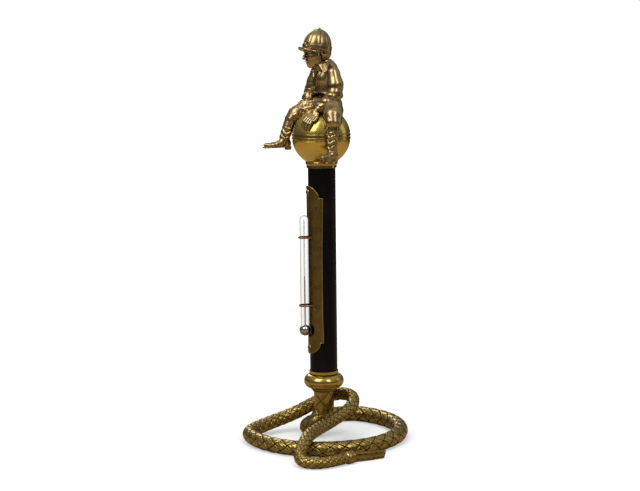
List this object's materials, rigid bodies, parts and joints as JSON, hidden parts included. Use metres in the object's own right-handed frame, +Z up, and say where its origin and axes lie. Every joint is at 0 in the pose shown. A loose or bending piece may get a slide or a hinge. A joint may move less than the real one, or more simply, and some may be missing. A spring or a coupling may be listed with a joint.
{
  "type": "figural desk thermometer",
  "caption": "Desk thermometer: cast brass seated jockey on a ball over an ebonised column with a curved scale and mercury tube, standing on a coiled riding-whip base.",
  "frame": {"origin": "on the column's axis, on the surface that the whip's coil rests on", "axes": "+Z up along the column, -Y towards the front that the thermometer and the jockey face, +X towards the jockey's left"},
  "size_m": [0.11, 0.106, 0.2576],
  "materials": {
    "figure_brass": "cast, antique patina",
    "ball_brass": "spun, polished",
    "turned_brass": "turned, aged polish",
    "whip_brass": "cast, dark patina",
    "plate_brass": "engraved, dull lacquer",
    "screw_brass": "aged",
    "copper_wire": "drawn wire",
    "ebonised_wood": "black, french polished",
    "tube_glass": "clear",
    "mercury": "liquid metal",
    "hidden_steel": "as turned"
  },
  "bodies": {
    "stand": {"ball_lower_half": "ball_brass", "ball_upper_half": "ball_brass", "cap_peak": "figure_brass", "column": "ebonised_wood", "figure_screw": "hidden_steel", "jockey_breeches": "figure_brass", "jockey_cap": "figure_brass", "jockey_head": "figure_brass", "jockey_jacket": "figure_brass", "jockey_left_arm": "figure_brass", "jockey_left_boot": "figure_brass", "jockey_left_hand": "figure_brass", "jockey_right_arm": "figure_brass", "jockey_right_boot": "figure_brass", "jockey_right_hand": "figure_brass", "lower_ferrule": "turned_brass", "lower_knop": "turned_brass", "lower_scale_screw": "screw_brass", "lower_tube_clip": "copper_wire", "mercury_reservoir": "mercury", "mercury_thread": "mercury", "scale_plate": "plate_brass", "stem_lip": "turned_brass", "thermometer_glass": "tube_glass", "tie_rod": "hidden_steel", "tie_rod_nut": "hidden_steel", "tie_rod_washer": "hidden_steel", "upper_collar": "turned_brass", "upper_scale_screw": "screw_brass", "upper_tube_clip": "copper_wire", "whip_coil": "whip_brass", "whip_grip": "whip_brass", "whip_keeper": "whip_brass", "whip_lash": "whip_brass", "whip_tail": "whip_brass", "whip_thong": "whip_brass"},
    "mercury": {"mercury_meniscus": "mercury"}
  },
  "joints": [
    {"name": "mercury_rise", "type": "slide", "parent": "stand", "child": "mercury", "axis": [0, 0, 1], "range_m": [-0.0232, 0.0296], "deforming": ["mercury_thread"]}
  ]
}
